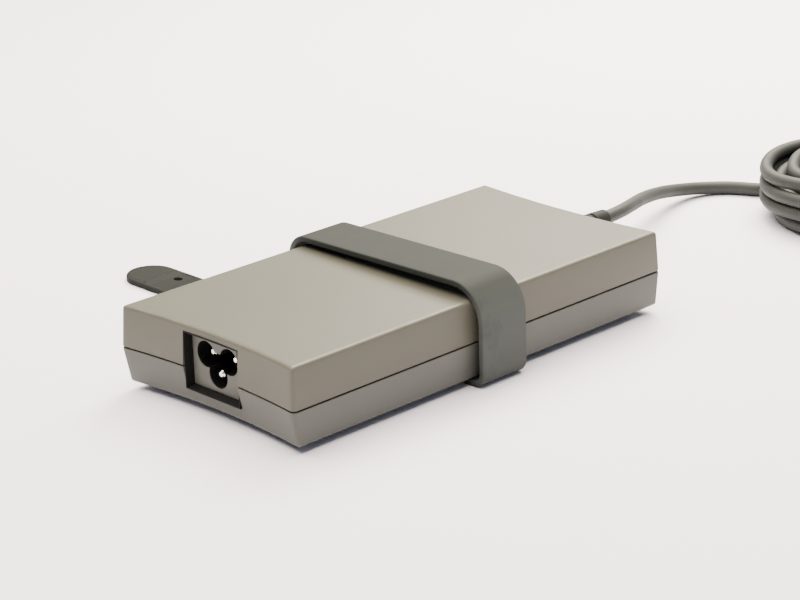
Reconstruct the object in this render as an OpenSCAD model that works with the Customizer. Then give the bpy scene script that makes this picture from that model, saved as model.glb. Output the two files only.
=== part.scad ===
// Slim laptop power adapter: a two-part welded casing with a cloverleaf mains inlet,
// a rubber cable strap that loops round it, a coiled output lead and a barrel plug.
// Millimetres. The origin is on the floor under the middle of the casing.
// +X runs towards the output lead, +Y towards the strap's tail and +Z up.

/* [Casing] */
// Length of the casing from corner to corner
case_len = 154.7; // [150:0.1:170]
// Width of the casing at the seam
case_w = 76.6; // [74:0.1:84]
// Height of the casing without its feet
case_h = 24.6; // [24:0.1:30]
// Height of the seam above the casing's underside
seam_h = 11.6; // [10:0.1:13]
// Wall thickness of both covers
wall = 2.2; // [1.6:0.1:2.4]
// How far the inlet end bows inwards at its middle
inlet_bow = 2.4; // [0:0.1:4]
// How far the lead end bows inwards at its middle
lead_bow = 2; // [0:0.1:4]
// Radius of the casing's upright corners
corner_r = 1.5; // [1:0.1:4]

/* [Feet] */
// Height of the rubber feet
foot_h = 2.2; // [2:0.1:3]
// Diameter of a foot
foot_d = 9; // [6:0.5:12]

/* [Inlet] */
// Radius of a contact pin
pin_r = 1.2; // [1:0.05:1.4]
// Distance between the line pin and the neutral pin
pin_gap = 10; // [9.5:0.1:10.5]
// Radius of each lobe of the socket
lobe_r = 4; // [3.8:0.1:4.4]

/* [Strap] */
// Width of the rubber band
band_w = 18.5; // [14:0.5:22]
// Thickness of the rubber band
band_t = 2; // [1.5:0.1:2]
// Place of the band along the casing
band_x = 2.4; // [-20:0.2:20]

/* [Lead] */
// Diameter of the output lead
lead_d = 4.6; // [4:0.1:4.8]
// Radius at the middle of the coil's turns
coil_r = 27.6; // [27:0.1:30]

/* [Plug] */
// Diameter of the plug's barrel
barrel_d = 7.4; // [5.5:0.1:7.4]
// Bore of the plug's barrel
barrel_bore = 5; // [3:0.1:5.1]
// Length of the bare barrel
barrel_l = 10; // [8:0.5:12]

/* [Hidden] */
$fn = 48;
eps = 0.05;

// Casing levels and half sizes
half_l = case_len / 2;
half_w = case_w / 2;
seam_z = foot_h + seam_h;
top_z = foot_h + case_h;
floor_z = foot_h + wall;
roof_z = top_z - wall;
draft = 0.8;
edge_r = 0.9;
seam_gap = 0.5;
lip_in = 1.1;
lip_h = 1.6;
toe_in = 1.2;
arc_steps = 4;
bow_steps = 12;

// Inlet levels, from the socket's contact centres
contact_z = foot_h + 16.3;
earth_z = contact_z - 5.3;
inlet_hw = 12;
inlet_lo = foot_h + 4.6;
inlet_hi = foot_h + 22.4;
inlet_x0 = -half_l + inlet_bow + 0.35;
inlet_x1 = inlet_x0 + 17;
liner_t = 1;
recess = 2.5;
face_x = inlet_x0 + recess;
face_t = 2;
socket_x = face_x + 12;
pin_tail_x = inlet_x1 + 4;
tail_r = pin_r - 0.2;
slip = 0.02;

// Circuit board
board_z = floor_z + 2;
board_t = 1.6;
board_top = board_z + board_t;
board_x0 = inlet_x1 + 0.6;
board_x1 = half_l - 8;
board_hw = half_w - 5;

// Strap loop: an upright rounded outline in the YZ plane
loop_out = 42.4;
loop_top = 31.7;
loop_far_drop = 1.2;
near_top_r = 12;
far_top_r = 8;
low_r = 4.5;
tail_axis_y = loop_out + 1.2;
tail_axis_z = band_t / 2;
stud_z = 18;

// Lead: the route is a list of points chosen by hand, from the casing to the coil
gland_y = 8;
gland_z = 14.4;
gland_len = 26;
gland_x = half_l - 4.75;
gland_neck = 3.1;
gland_collar = 2.25;
coil_c = [196, -28];
lift = 1;
pitch = lead_d + 0.1;
lead_r = lead_d / 2;
lead_route = [[77, 8, 14.4], [90, 8, 14.4], [104, 8, 14.4], [114, 10, 13.9], [124, 14, 12.7],
    [134, 18.8, 11], [144, 22.8, 9.2], [154, 26, 7.2], [162, 28, 5.4], [168, 28.6, 4.2],
    [172.8, 28.4, 3.4], [177.3, 27.1, 2.8], [181.4, 24.7, 2.5], [184.9, 21.4, 2.4],
    [187.4, 17.4, 2.4], [188.9, 14.4, 2.4], [191, 10.8, 2.4], [194.2, 7.6, 2.6],
    [198.2, 5.2, 2.9], [202, 3.8, 3.3]];
// The lead's far end: it leaves the coil's second layer and comes down beside it to the plug
end_route = [[222.7, -9.8, 8], [226.9, -16.7, 7.9], [230.1, -24.4, 7.2], [231.8, -33, 6],
    [231.2, -42.2, 4.6], [227.7, -51, 3.6], [221.8, -58.8, 3.6], [215.3, -64.4, 4.3],
    [209.1, -68.2, 5], [203.5, -70.7, 5.4]];
lead_sides = 10;
coil_rows = 4;
coil_cols = 3;

// Plug: laid out along its own X axis and then placed at the end of the lead
plug_at = end_route[len(end_route) - 1];
plug_turn = 204;
relief_l = 20;
body_l = 28;
body_r = 5.2;
plug_in = 6;
barrel_base = relief_l + body_l;
seat_r = barrel_d / 2 - 0.2;
seat_out = 0.5;

// ---------- shared shapes ----------

// Points of an arc about c, from angle a0 to a1 in n steps
function arc(c, r, a0, a1, n) = [for (i = [0:n]) let (a = a0 + (a1 - a0) * i / n)
    c + r * [cos(a), sin(a)]];

// Depth of an end's inward bow at a share s of its half width
function bow_at(bow, s) = bow * (1 - s * s);

// One end of the casing's plan outline, walked from y = side * hw to the other side
function end_points(x, dir, bow, hw) = [for (i = [1:bow_steps - 1]) let (s = 1 - 2 * i / bow_steps)
    [x - dir * bow_at(bow, s), dir * -s * hw]];

// Plan outline of the casing set in by inset, and by toe more at the inlet end
function outline(inset, toe) = let (
    r = max(corner_r - inset, 0.4),
    xr = half_l - inset,
    xl = -half_l + inset + toe,
    yw = half_w - inset,
    flat = yw - r)
    concat(arc([xr - r, -flat], r, -90, 0, arc_steps),
        end_points(xr, 1, lead_bow, flat),
        arc([xr - r, flat], r, 0, 90, arc_steps),
        arc([xl + r, flat], r, 90, 180, arc_steps),
        end_points(xl, -1, inlet_bow, flat),
        arc([xl + r, -flat], r, 180, 270, arc_steps));

// Skin through a list of closed rings with the same number of points, capped at both ends
module skin(rings) {
    n = len(rings[0]);
    m = len(rings);
    points = [for (ring = rings) each ring];
    sides = [for (j = [0:m - 2], i = [0:n - 1]) let (k = (i + 1) % n, a = j * n, b = a + n)
        each [[a + i, b + k, a + k], [a + i, b + i, b + k]]];
    caps = [[for (i = [0:n - 1]) i], [for (i = [n - 1:-1:0]) (m - 1) * n + i]];
    polyhedron(points, concat(sides, caps), convexity = 8);
}

// Casing level: the plan outline at height z
function level(inset, z, toe = 0) = [for (p = outline(inset, toe)) [p[0], p[1], z]];

// Round tube swept through a list of points, with flat ends
module swept_tube(route, r, sides) {
    last = len(route) - 1;
    rings = [for (i = [0:last]) let (
        ahead = route[min(i + 1, last)] - route[max(i - 1, 0)],
        t = ahead / norm(ahead),
        s0 = cross(t, [0, 0, 1]),
        s = s0 / norm(s0),
        u = cross(s, t))
        [for (k = [0:sides - 1]) let (a = 360 * k / sides) route[i] + r * (cos(a) * s + sin(a) * u)]];
    skin(rings);
}

// Cylinder along +X from x0 to x1
module rod_x(x0, x1, r, y = 0, z = 0) {
    translate([x0, y, z]) rotate([0, 90, 0]) cylinder(h = x1 - x0, r = r);
}

// Box given by its low corner and its size, standing on the board
module on_board(x, y, size) {
    translate([x, y, board_top]) cube(size);
}

// Prism along X of a 2D shape drawn in Y and Z
module prism_x(x0, x1) {
    translate([x0, 0, 0]) rotate([90, 0, 90]) linear_extrude(x1 - x0) children();
}

// Space cut through the covers for the inlet housing
module inlet_cut() {
    gap = 0.1;
    translate([-half_l - 1, -inlet_hw - gap, inlet_lo - gap])
        cube([inlet_x1 + gap + half_l + 1, 2 * (inlet_hw + gap), inlet_hi - inlet_lo + 2 * gap]);
}

// Round hole for the lead's gland through the end wall
module gland_cut() {
    rod_x(half_l - 12, half_l + 2, 4.3, gland_y, gland_z);
}

// ---------- casing ----------

module bottom_cover() {
    color([0.56, 0.55, 0.51]) difference() {
        skin([
            level(2 * edge_r, foot_h, toe_in),
            level(draft + 0.25, foot_h + 0.3, toe_in),
            level(draft, foot_h + edge_r, toe_in),
            level(0, seam_z - seam_gap / 2),
            level(lip_in, seam_z - seam_gap / 2),
            level(lip_in, seam_z + lip_h),
            level(wall, seam_z + lip_h),
            level(wall + draft, floor_z, toe_in)]);
        inlet_cut();
        gland_cut();
    }
}

module top_cover() {
    color([0.72, 0.7, 0.64]) difference() {
        skin([
            level(wall + draft, roof_z),
            level(wall + 0.1, seam_z + lip_h + 0.1),
            level(lip_in - 0.1, seam_z + lip_h + 0.1),
            level(lip_in - 0.1, seam_z + seam_gap / 2),
            level(0, seam_z + seam_gap / 2),
            level(draft, top_z - edge_r),
            level(draft + 0.25, top_z - 0.3),
            level(2 * edge_r, top_z)]);
        inlet_cut();
        gland_cut();
    }
}

module rubber_feet() {
    color([0.2, 0.2, 0.2])
        for (x = [-66, 66], y = [-28, 28])
            translate([x, y, 0]) cylinder(h = foot_h, d = foot_d);
}

module rating_plate() {
    plate_t = 0.15;
    color([0.75, 0.75, 0.73]) translate([-56, -26, foot_h - plate_t]) cube([44, 52, plate_t]);
}

// ---------- mains inlet ----------

// Cloverleaf outline in Y and Z: a lobe round each contact, and one between them
module clover() {
    for (p = [[-pin_gap / 2, contact_z], [pin_gap / 2, contact_z], [0, earth_z]])
        translate(p) circle(r = lobe_r);
    translate([0, (contact_z + earth_z) / 2 + 0.3]) circle(r = lobe_r - 0.2);
}

module inlet_housing() {
    color([0.06, 0.06, 0.06]) difference() {
        translate([inlet_x0, -inlet_hw, inlet_lo])
            cube([inlet_x1 - inlet_x0, 2 * inlet_hw, inlet_hi - inlet_lo]);
        translate([inlet_x0 - 1, -inlet_hw + liner_t, inlet_lo + liner_t])
            cube([inlet_x1 - inlet_x0 + 1 - liner_t, 2 * (inlet_hw - liner_t),
                inlet_hi - inlet_lo - 2 * liner_t]);
        for (p = [[-pin_gap / 2, contact_z], [pin_gap / 2, contact_z], [0, earth_z]])
            rod_x(inlet_x1 - 2 * liner_t, inlet_x1 + 1, tail_r + slip, p[0], p[1]);
    }
}

// Block that fills the housing from x0 to x1
module inlet_block(x0, x1) {
    gap = 0.05;
    translate([x0, -inlet_hw + liner_t + gap, inlet_lo + liner_t + gap])
        cube([x1 - x0, 2 * (inlet_hw - liner_t - gap), inlet_hi - inlet_lo - 2 * (liner_t + gap)]);
}

module inlet_face() {
    color([0.6, 0.59, 0.55]) difference() {
        inlet_block(face_x, face_x + face_t);
        prism_x(face_x - 1, face_x + face_t + 1) clover();
    }
}

module inlet_core() {
    color([0.05, 0.05, 0.05]) difference() {
        inlet_block(face_x + face_t, inlet_x1 - liner_t);
        prism_x(face_x, socket_x) clover();
        for (p = [[-pin_gap / 2, contact_z], [pin_gap / 2, contact_z], [0, earth_z]])
            rod_x(socket_x - 1, inlet_x1, tail_r + slip, p[0], p[1]);
    }
}

// Contact pin: a round-nosed shaft in the socket and a thinner solder tail behind it
module contact(tip_x, y, z) {
    nose = 0.5;
    color([0.85, 0.84, 0.8]) union() {
        translate([tip_x, y, z]) rotate([0, 90, 0])
            cylinder(h = nose, r1 = pin_r - nose, r2 = pin_r);
        rod_x(tip_x + nose, socket_x, pin_r, y, z);
        rod_x(socket_x - eps, pin_tail_x, tail_r, y, z);
    }
}

module line_pin() {
    contact(face_x + 2.5, pin_gap / 2, contact_z);
}

module neutral_pin() {
    contact(face_x + 2.5, -pin_gap / 2, contact_z);
}

module earth_pin() {
    contact(face_x + 1, 0, earth_z);
}

// ---------- electronics ----------

module circuit_board() {
    color([0.1, 0.35, 0.2]) translate([board_x0, -board_hw, board_z])
        cube([board_x1 - board_x0, 2 * board_hw, board_t]);
}

module insulating_sheet() {
    sheet_t = 0.4;
    color([0.9, 0.88, 0.8]) translate([board_x0, -board_hw, floor_z])
        cube([board_x1 - board_x0, 2 * board_hw, sheet_t]);
}

module heat_spreader() {
    plate_t = 0.8;
    color([0.75, 0.76, 0.78]) translate([board_x0 + 1, -board_hw + 2, roof_z - plate_t])
        cube([board_x1 - board_x0 - 6, 2 * board_hw - 4, plate_t]);
}

module fuse() {
    color([0.8, 0.78, 0.7]) on_board(board_x0 + 2, -31, [8, 4, 8]);
}

module surge_varistor() {
    color([0.15, 0.3, 0.6]) translate([board_x0 + 0.8, 24, board_top + 5.6])
        rotate([0, 90, 0]) cylinder(h = 3, r = 5.5);
}

module filter_choke_core() {
    color([0.25, 0.25, 0.27]) translate([-40, 20, board_top]) difference() {
        translate([0, 0, 1.5]) cylinder(h = 8, r = 8);
        translate([0, 0, 0.5]) cylinder(h = 10, r = 4);
    }
}

// Windings stand round the core as two half sleeves
module filter_choke_winding() {
    color([0.75, 0.4, 0.15]) translate([-40, 20, board_top])
        for (turn = [0, 180])
            rotate([0, 0, turn]) rotate_extrude(angle = 130) translate([8.1, 0]) square([2, 10]);
}

module x_capacitor() {
    color([0.85, 0.65, 0.15]) on_board(-47, -4, [13, 7, 11]);
}

module y_capacitors() {
    color([0.15, 0.35, 0.7]) for (y = [-12, -20])
        translate([-48, y, board_top + 4.1]) rotate([0, 90, 0]) cylinder(h = 3, r = 4);
}

module bridge_rectifier() {
    color([0.12, 0.12, 0.12]) on_board(-42, -30, [18, 3.5, 12]);
}

module pfc_choke_core() {
    color([0.25, 0.25, 0.27]) difference() {
        on_board(-24, -22, [20, 18, 13]);
        translate([-14, -13, board_top - 1]) cylinder(h = 12, r = 6.5);
    }
}

module pfc_choke_winding() {
    color([0.75, 0.4, 0.15]) translate([-14, -13, board_top]) difference() {
        cylinder(h = 10.8, r = 6.2);
        translate([0, 0, -1]) cylinder(h = 13, r = 3);
    }
}

module bulk_capacitor() {
    can_r = 7.2;
    color([0.1, 0.12, 0.2]) translate([-26, 14, board_top + can_r]) rotate([0, 90, 0])
        cylinder(h = 30, r = can_r);
}

module primary_heatsink() {
    color([0.7, 0.71, 0.73]) on_board(-24, 27, [40, 1.5, 13]);
}

module switch_transistors() {
    color([0.12, 0.12, 0.12]) for (x = [-20, -2]) on_board(x, 22.4, [10, 4.5, 12]);
}

module transformer_core() {
    color([0.25, 0.25, 0.27]) difference() {
        on_board(8, -16, [24, 26, 14.8]);
        on_board(11, -17, [18, 28, 10.6]);
    }
}

module transformer_winding() {
    color([0.9, 0.75, 0.2]) difference() {
        on_board(11.2, -15.8, [17.6, 25.6, 10.4]);
        translate([20, -3, board_top - 1]) cylinder(h = 13, r = 4);
    }
}

module secondary_heatsink() {
    color([0.7, 0.71, 0.73]) on_board(38, -28, [1.5, 44, 13]);
}

module output_rectifiers() {
    color([0.12, 0.12, 0.12]) for (y = [-24, -8, 8]) on_board(39.6, y, [4.5, 10, 12]);
}

module output_capacitors() {
    color([0.1, 0.15, 0.3]) for (y = [-22, -11, 0])
        translate([52, y, board_top]) cylinder(h = 14.8, r = 4.5);
}

module optocoupler() {
    color([0.92, 0.92, 0.9]) on_board(14, 18, [4.6, 6.5, 3.5]);
}

module control_chips() {
    color([0.1, 0.1, 0.1]) for (x = [24, 32]) on_board(x, 20, [5, 4, 1.6]);
}

module thermal_pads() {
    pad_t = 1;
    pad_z = roof_z - 0.8 - pad_t;
    color([0.55, 0.6, 0.75]) for (x = [9, 48])
        translate([x, -14, pad_z]) cube([18, 16, pad_t]);
}

module output_wires() {
    wire_r = 0.9;
    wire_x = board_x1 - 6;
    color([0.15, 0.15, 0.15]) for (y = [gland_y - 1.2, gland_y + 1.2]) union() {
        rod_x(wire_x, gland_x - 2.4, wire_r, y, gland_z);
        translate([wire_x, y, gland_z]) sphere(r = wire_r);
        translate([wire_x, y, board_top]) cylinder(h = gland_z - board_top, r = wire_r);
    }
}

// ---------- strap ----------

// The loop's outline in Y and Z, set in by inset; the near side is at -Y
function loop_outline(inset) = let (
    y = loop_out - inset,
    t = loop_top - inset,
    f = loop_top - loop_far_drop - inset,
    rn = near_top_r - inset,
    rf = far_top_r - inset,
    rl = low_r - inset)
    concat(arc([-y + rn, t - rn], rn, 180, 90, 8),
        arc([y - rf, f - rf], rf, 88, 0, 8),
        arc([y - rl, inset + rl], rl, 0, -90, 5),
        arc([-y + rl, inset + rl], rl, -90, -180, 5));

module strap_band() {
    color([0.49, 0.5, 0.47]) prism_x(band_x - band_w / 2, band_x + band_w / 2) difference() {
        polygon(loop_outline(0));
        polygon(loop_outline(band_t));
    }
}

// Button that the tail's hole hooks over
module strap_stud() {
    color([0.42, 0.43, 0.4]) translate([band_x, loop_out, stud_z]) rotate([-90, 0, 0]) union() {
        cylinder(h = 1.4, r = 1.4);
        translate([0, 0, 1.4]) cylinder(h = 0.9, r = 2.6);
    }
}

// Tail outline in plan: it leaves the band square and leans towards the inlet end
module tail_outline() {
    tip = [-10.7, 108.4];
    tip_r = 8.3;
    root_l = band_x - band_w / 2;
    root_r = band_x + band_w / 2;
    polygon(concat([[root_l, tail_axis_y], [root_r, tail_axis_y], [root_r - 1, 56], [-2.2, 94]],
        arc(tip, tip_r, 10, 170, 14), [[-19.2, 94], [root_l - 3, 56]]));
}

module strap_tail() {
    color([0.49, 0.5, 0.47]) union() {
        difference() {
            linear_extrude(band_t) tail_outline();
            translate([-7.8, 97.8, -1]) cylinder(h = band_t + 2, r = 1.6);
        }
        translate([band_x - band_w / 2, tail_axis_y, tail_axis_z]) rotate([0, 90, 0])
            cylinder(h = band_w, r = band_t / 2);
    }
}

// ---------- output lead ----------

module cable_gland() {
    collar_x = gland_x + gland_neck;
    taper_x = collar_x + gland_collar;
    color([0.4, 0.41, 0.38]) difference() {
        union() {
            rod_x(gland_x - 2.4, gland_x, 5.6, gland_y, gland_z);
            rod_x(gland_x, collar_x, 4.2, gland_y, gland_z);
            rod_x(collar_x, taper_x, 4.9, gland_y, gland_z);
            translate([taper_x, gland_y, gland_z]) rotate([0, 90, 0])
                cylinder(h = half_l + gland_len - taper_x, r1 = 3.9, r2 = lead_r + 0.8);
        }
        rod_x(gland_x - 3, half_l + gland_len + 1, lead_r + 0.05, gland_y, gland_z);
    }
}

module dc_cable() {
    color([0.5, 0.51, 0.48]) swept_tube(lead_route, lead_r, lead_sides);
}

module dc_cable_end() {
    color([0.5, 0.51, 0.48]) swept_tube(end_route, lead_r, lead_sides);
}

// Outer shape of the coil: three columns of turns in four layers
module dc_cable_coil() {
    r_in = coil_r - pitch - lead_r;
    r_out = coil_r + pitch + lead_r;
    coil_h = coil_rows * pitch;
    step = 1.6;
    color([0.5, 0.51, 0.48]) translate([coil_c[0], coil_c[1], lift]) rotate_extrude($fn = 96)
        polygon([[r_in, step], [r_in + step, 0], [r_out - step, 0], [r_out, step],
            [r_out, coil_h - step], [r_out - step, coil_h], [r_in + step, coil_h],
            [r_in, coil_h - step]]);
}

// Loop of soft tie round the coil's section
module cable_tie() {
    tie_t = lift - 0.1;
    tie_w = 9;
    tie_turn = -150;
    slack = 0.7;
    r_in = coil_r - pitch - lead_r - 0.1;
    section_w = coil_cols * pitch + 0.2;
    section_h = coil_rows * pitch + 0.2;
    color([0.15, 0.15, 0.15]) translate([coil_c[0], coil_c[1], lift])
        rotate([0, 0, tie_turn]) rotate([90, 0, 0]) translate([r_in, -0.1, -tie_w / 2])
        linear_extrude(tie_w) difference() {
            translate([-tie_t - slack, -tie_t + 0.1])
                square([section_w + 2 * (tie_t + slack), section_h + 2 * tie_t]);
            translate([-slack, 0]) square([section_w + 2 * slack, section_h]);
        }
}

// ---------- plug ----------

// Puts a shape drawn along +X, with the lead entering at its origin, at the lead's end
module at_plug() {
    translate(plug_at) rotate([0, 0, plug_turn]) children();
}

module plug_relief() {
    color([0.25, 0.25, 0.25]) at_plug() difference() {
        rotate([0, 90, 0]) cylinder(h = relief_l, r1 = lead_r + 0.6, r2 = 4);
        rod_x(-1, relief_l + 1, lead_r + 0.05);
    }
}

module plug_body() {
    rib_n = 5;
    rib_step = 3;
    color([0.22, 0.22, 0.22]) at_plug() difference() {
        union() {
            rod_x(relief_l, barrel_base - 2, body_r);
            translate([barrel_base - 2, 0, 0]) rotate([0, 90, 0])
                cylinder(h = 2, r1 = body_r, r2 = body_r - 0.8);
        }
        for (i = [0:rib_n - 1]) translate([relief_l + 5 + i * rib_step, 0, 0]) rotate([0, 90, 0])
            rotate_extrude() translate([body_r - 0.5, 0]) square([2, 1.2]);
        rod_x(barrel_base - plug_in, barrel_base + 1, seat_r + slip);
    }
}

// Barrel: a thinner seat inside the body and just outside it, then the bare barrel
module plug_barrel() {
    color([0.8, 0.8, 0.78]) at_plug() difference() {
        union() {
            rod_x(barrel_base - plug_in, barrel_base + seat_out + eps, seat_r);
            rod_x(barrel_base + seat_out, barrel_base + barrel_l, barrel_d / 2);
        }
        rod_x(barrel_base - plug_in - 1, barrel_base + barrel_l + 1, barrel_bore / 2 + 0.4);
    }
}

module plug_insulator() {
    color([0.05, 0.05, 0.05]) at_plug() difference() {
        rod_x(barrel_base - plug_in, barrel_base + barrel_l - 0.3, barrel_bore / 2 + 0.4 - slip);
        rod_x(barrel_base + 1, barrel_base + barrel_l + 1, barrel_bore / 2);
        rod_x(barrel_base - plug_in - 1, barrel_base + 2, 0.4 + slip);
    }
}

module plug_centre_pin() {
    color([0.85, 0.7, 0.35]) at_plug()
        rod_x(barrel_base - plug_in, barrel_base + barrel_l - 2, 0.4);
}

bottom_cover();
top_cover();
inlet_housing();
inlet_face();
inlet_core();
line_pin();
neutral_pin();
earth_pin();
circuit_board();
insulating_sheet();
heat_spreader();
fuse();
surge_varistor();
filter_choke_core();
filter_choke_winding();
x_capacitor();
y_capacitors();
bridge_rectifier();
pfc_choke_core();
pfc_choke_winding();
bulk_capacitor();
primary_heatsink();
switch_transistors();
transformer_core();
transformer_winding();
secondary_heatsink();
output_rectifiers();
output_capacitors();
optocoupler();
control_chips();
thermal_pads();
output_wires();
rubber_feet();
rating_plate();
strap_band();
strap_stud();
strap_tail();
cable_gland();
dc_cable();
dc_cable_coil();
dc_cable_end();
cable_tie();
plug_relief();
plug_body();
plug_insulator();
plug_barrel();
plug_centre_pin();
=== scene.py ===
"""Looks of a slim laptop power adapter: a satin two-part casing with a cloverleaf mains inlet,
a rubber strap round it, and an output lead that runs to a tied coil and a barrel plug.

Lengths are in metres. +X runs towards the output lead, +Y towards the strap's tail, +Z up."""

import math

import bpy
import numpy as np
from mathutils import Matrix, Vector


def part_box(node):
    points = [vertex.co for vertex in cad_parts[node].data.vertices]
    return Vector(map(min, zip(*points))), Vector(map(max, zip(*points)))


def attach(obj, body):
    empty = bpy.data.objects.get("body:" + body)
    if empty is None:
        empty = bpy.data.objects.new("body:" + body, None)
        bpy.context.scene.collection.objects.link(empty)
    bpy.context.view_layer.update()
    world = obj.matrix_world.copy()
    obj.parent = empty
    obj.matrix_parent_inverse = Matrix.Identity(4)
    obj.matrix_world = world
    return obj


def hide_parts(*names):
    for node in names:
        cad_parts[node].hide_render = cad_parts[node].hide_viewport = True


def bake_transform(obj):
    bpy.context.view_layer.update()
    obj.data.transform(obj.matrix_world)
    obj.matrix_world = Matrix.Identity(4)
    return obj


bl_info = {
    "name": "Laptop Power Adapter",
    "version": (1, 0, 0),
    "blender": (4, 5, 0),
    "location": "View3D > Sidebar > Adapter",
    "description": "Makes a slim laptop power adapter with its strap, lead, coil and plug",
    "category": "Object",
}

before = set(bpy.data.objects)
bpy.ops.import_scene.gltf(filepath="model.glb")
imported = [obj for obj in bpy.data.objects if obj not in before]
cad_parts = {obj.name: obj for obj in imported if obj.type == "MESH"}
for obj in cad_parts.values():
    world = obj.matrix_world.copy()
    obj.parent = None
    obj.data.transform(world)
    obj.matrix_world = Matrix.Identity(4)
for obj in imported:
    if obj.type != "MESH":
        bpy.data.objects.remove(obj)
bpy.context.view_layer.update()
MM = 0.001
UP = np.array([0.0, 0.0, 1.0])
PINS = ("line_pin", "neutral_pin", "earth_pin")
# faces that meet at more than this many degrees keep a crisp edge
SHARP = 35.0


# ---------- surfaces ----------


def arc(centre, radius, start, stop, steps):
    """Points of a circle's arc in a plane, from one angle to another in degrees."""
    a = np.radians(np.linspace(start, stop, steps + 1))[:, None]
    return np.asarray(centre) + radius * np.hstack([np.cos(a), np.sin(a)])


def circle(centre, radius, sides):
    """A circle's points, evenly spaced."""
    return arc(centre, radius, 0, 360 - 360 / sides, sides - 1)


def rounded(middle, half, corner):
    """A rectangle with rounded corners, from its middle, its half sizes and the corners' radius."""
    turns = (((1, 1), 0), ((-1, 1), 90), ((-1, -1), 180), ((1, -1), 270))
    return np.vstack([arc(middle + (half - corner) * side, corner, start, start + 90, 8)
                      for side, start in turns])


def ramp(value, start, stop):
    """0 before start, 1 past stop and even between. Start may be the higher of the two."""
    return np.clip((value - start) / (stop - start), 0, 1)


def eased(share):
    """A share that leaves 0 and reaches 1 gently: 3 s * s - 2 s * s * s."""
    return share * share * (3 - 2 * share)


def lengths(points):
    """Distance along a line at each of its points."""
    return np.append(0, np.cumsum(np.linalg.norm(np.diff(points, axis=0), axis=1)))


def evenly(points, count):
    """A closed line's points spaced evenly: its length cut into count equal shares."""
    ring = np.vstack([points, points[:1]])
    along = lengths(ring)
    where = np.arange(count) * along[-1] / count
    return np.stack([np.interp(where, along, axis) for axis in ring.T], 1)


def outwards(line, side):
    """Unit normals of a closed flat line: its direction turned left where side is 1, and right
    where it is -1."""
    ahead = np.roll(line, -1, 0) - np.roll(line, 1, 0)
    ahead /= np.linalg.norm(ahead, axis=1)[:, None]
    return side * np.column_stack([-ahead[:, 1], ahead[:, 0]])


def smooth_line(points, step):
    """A line through every point: between two points it is the cubic that leaves and arrives
    along the slopes there, taken at even steps."""
    along = lengths(points)
    slope = np.gradient(points, along, axis=0)
    at = np.append(np.arange(0, along[-1], step), along[-1])
    i = np.clip(np.searchsorted(along, at, side="right") - 1, 0, len(points) - 2)
    span = (along[i + 1] - along[i])[:, None]
    t = (at - along[i])[:, None] / span
    return (
        points[i] * (1 + 2 * t) * (1 - t) ** 2
        + points[i + 1] * t * t * (3 - 2 * t)
        + span * slope[i] * t * (1 - t) ** 2
        - span * slope[i + 1] * t * t * (1 - t)
    )


def slab_section(round_steps, across):
    """Walk round a slab's section as four rows: the shares of the core's half width and half
    height, and the direction from the core's corner to the skin."""
    corners = []
    for share_x, share_z, start in ((1, -1, -90), (1, 1, 0), (-1, 1, 90), (-1, -1, 180)):
        turn = arc((0, 0), 1, start, start + 90, round_steps)
        corners.append(np.hstack([np.full(turn.shape, (share_x, share_z)), turn]))
    t = np.linspace(1, -1, across + 2)[1:-1, None]
    top = np.hstack([t, np.ones_like(t), np.zeros_like(t), np.ones_like(t)])
    bottom = np.hstack([-t, -np.ones_like(t), np.zeros_like(t), -np.ones_like(t)])
    return np.vstack([corners[0], corners[1], top, corners[2], corners[3], bottom]).T


def slab(half_w, half_t, radius, section):
    """Offsets across and through a slab of the given half width and half thickness, whose edges
    are rounded by radius: core corner times share, plus radius times direction."""
    share_x, share_z, out_x, out_z = section
    r = np.minimum(radius, half_w)
    return share_x * (half_w - r) + out_x * r, share_z * (half_t - r) + out_z * r


def edge_wear(section):
    """True where a slab's section is on its rounded edges."""
    return (np.abs(section[2]) > 0.2) & (np.abs(section[3]) > 0.2)


def tube(line, radius, sides):
    """Rings round a line: at each point a circle across the line's direction, begun from its
    level side."""
    ahead = np.gradient(line, axis=0)
    ahead /= np.linalg.norm(ahead, axis=1)[:, None]
    side = np.cross(ahead, UP)
    side /= np.linalg.norm(side, axis=1)[:, None]
    over = np.cross(side, ahead)
    a = np.linspace(0, 2 * np.pi, sides, endpoint=False)[None, :, None]
    return line[:, None] + radius * (np.cos(a) * side[:, None] + np.sin(a) * over[:, None])


def turned(profile, sides):
    """A profile of (x, radius) turned about the X axis."""
    profile = np.asarray(profile, float)
    a = np.linspace(0, 2 * np.pi, sides, endpoint=False)[None, :]
    x = np.broadcast_to(profile[:, :1], (len(profile), sides))
    return np.stack([x, profile[:, 1:] * np.cos(a), profile[:, 1:] * np.sin(a)], -1)


def round_shoulder(x, r, radius, facing, steps=5):
    """Profile points of a rounded outer edge at (x, r): it goes from the face to the side where
    facing is -1, and from the side to the face where facing is 1."""
    centre = (x - facing * radius, r - radius)
    return arc(centre, radius, 180, 90, steps) if facing < 0 else arc(centre, radius, 90, 0, steps)


def grooves(starts, reach, shape, radius):
    """Profile points of like grooves: from each start, the places in shape as a share of the
    reach, and as a depth in millimetres under the radius at the start."""
    return [(x + share * reach, radius(x) - dip * MM) for x in starts for share, dip in shape]


def loft(levels):
    """Rows of points from levels of a flat outline and its height."""
    return np.stack([np.column_stack([plan, np.full(len(plan), z)]) for plan, z in levels])


def centre_of(node):
    """Middle of a CAD node's box."""
    low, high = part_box(node)
    return (low + high) / 2


def set_down(points, at, turn):
    """Points drawn along +X, turned about Z in degrees and moved to a place."""
    a = math.radians(turn)
    spin = np.array([[math.cos(a), -math.sin(a), 0], [math.sin(a), math.cos(a), 0], [0, 0, 1]])
    return np.asarray(points) @ spin.T + np.asarray(at, float)


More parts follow.
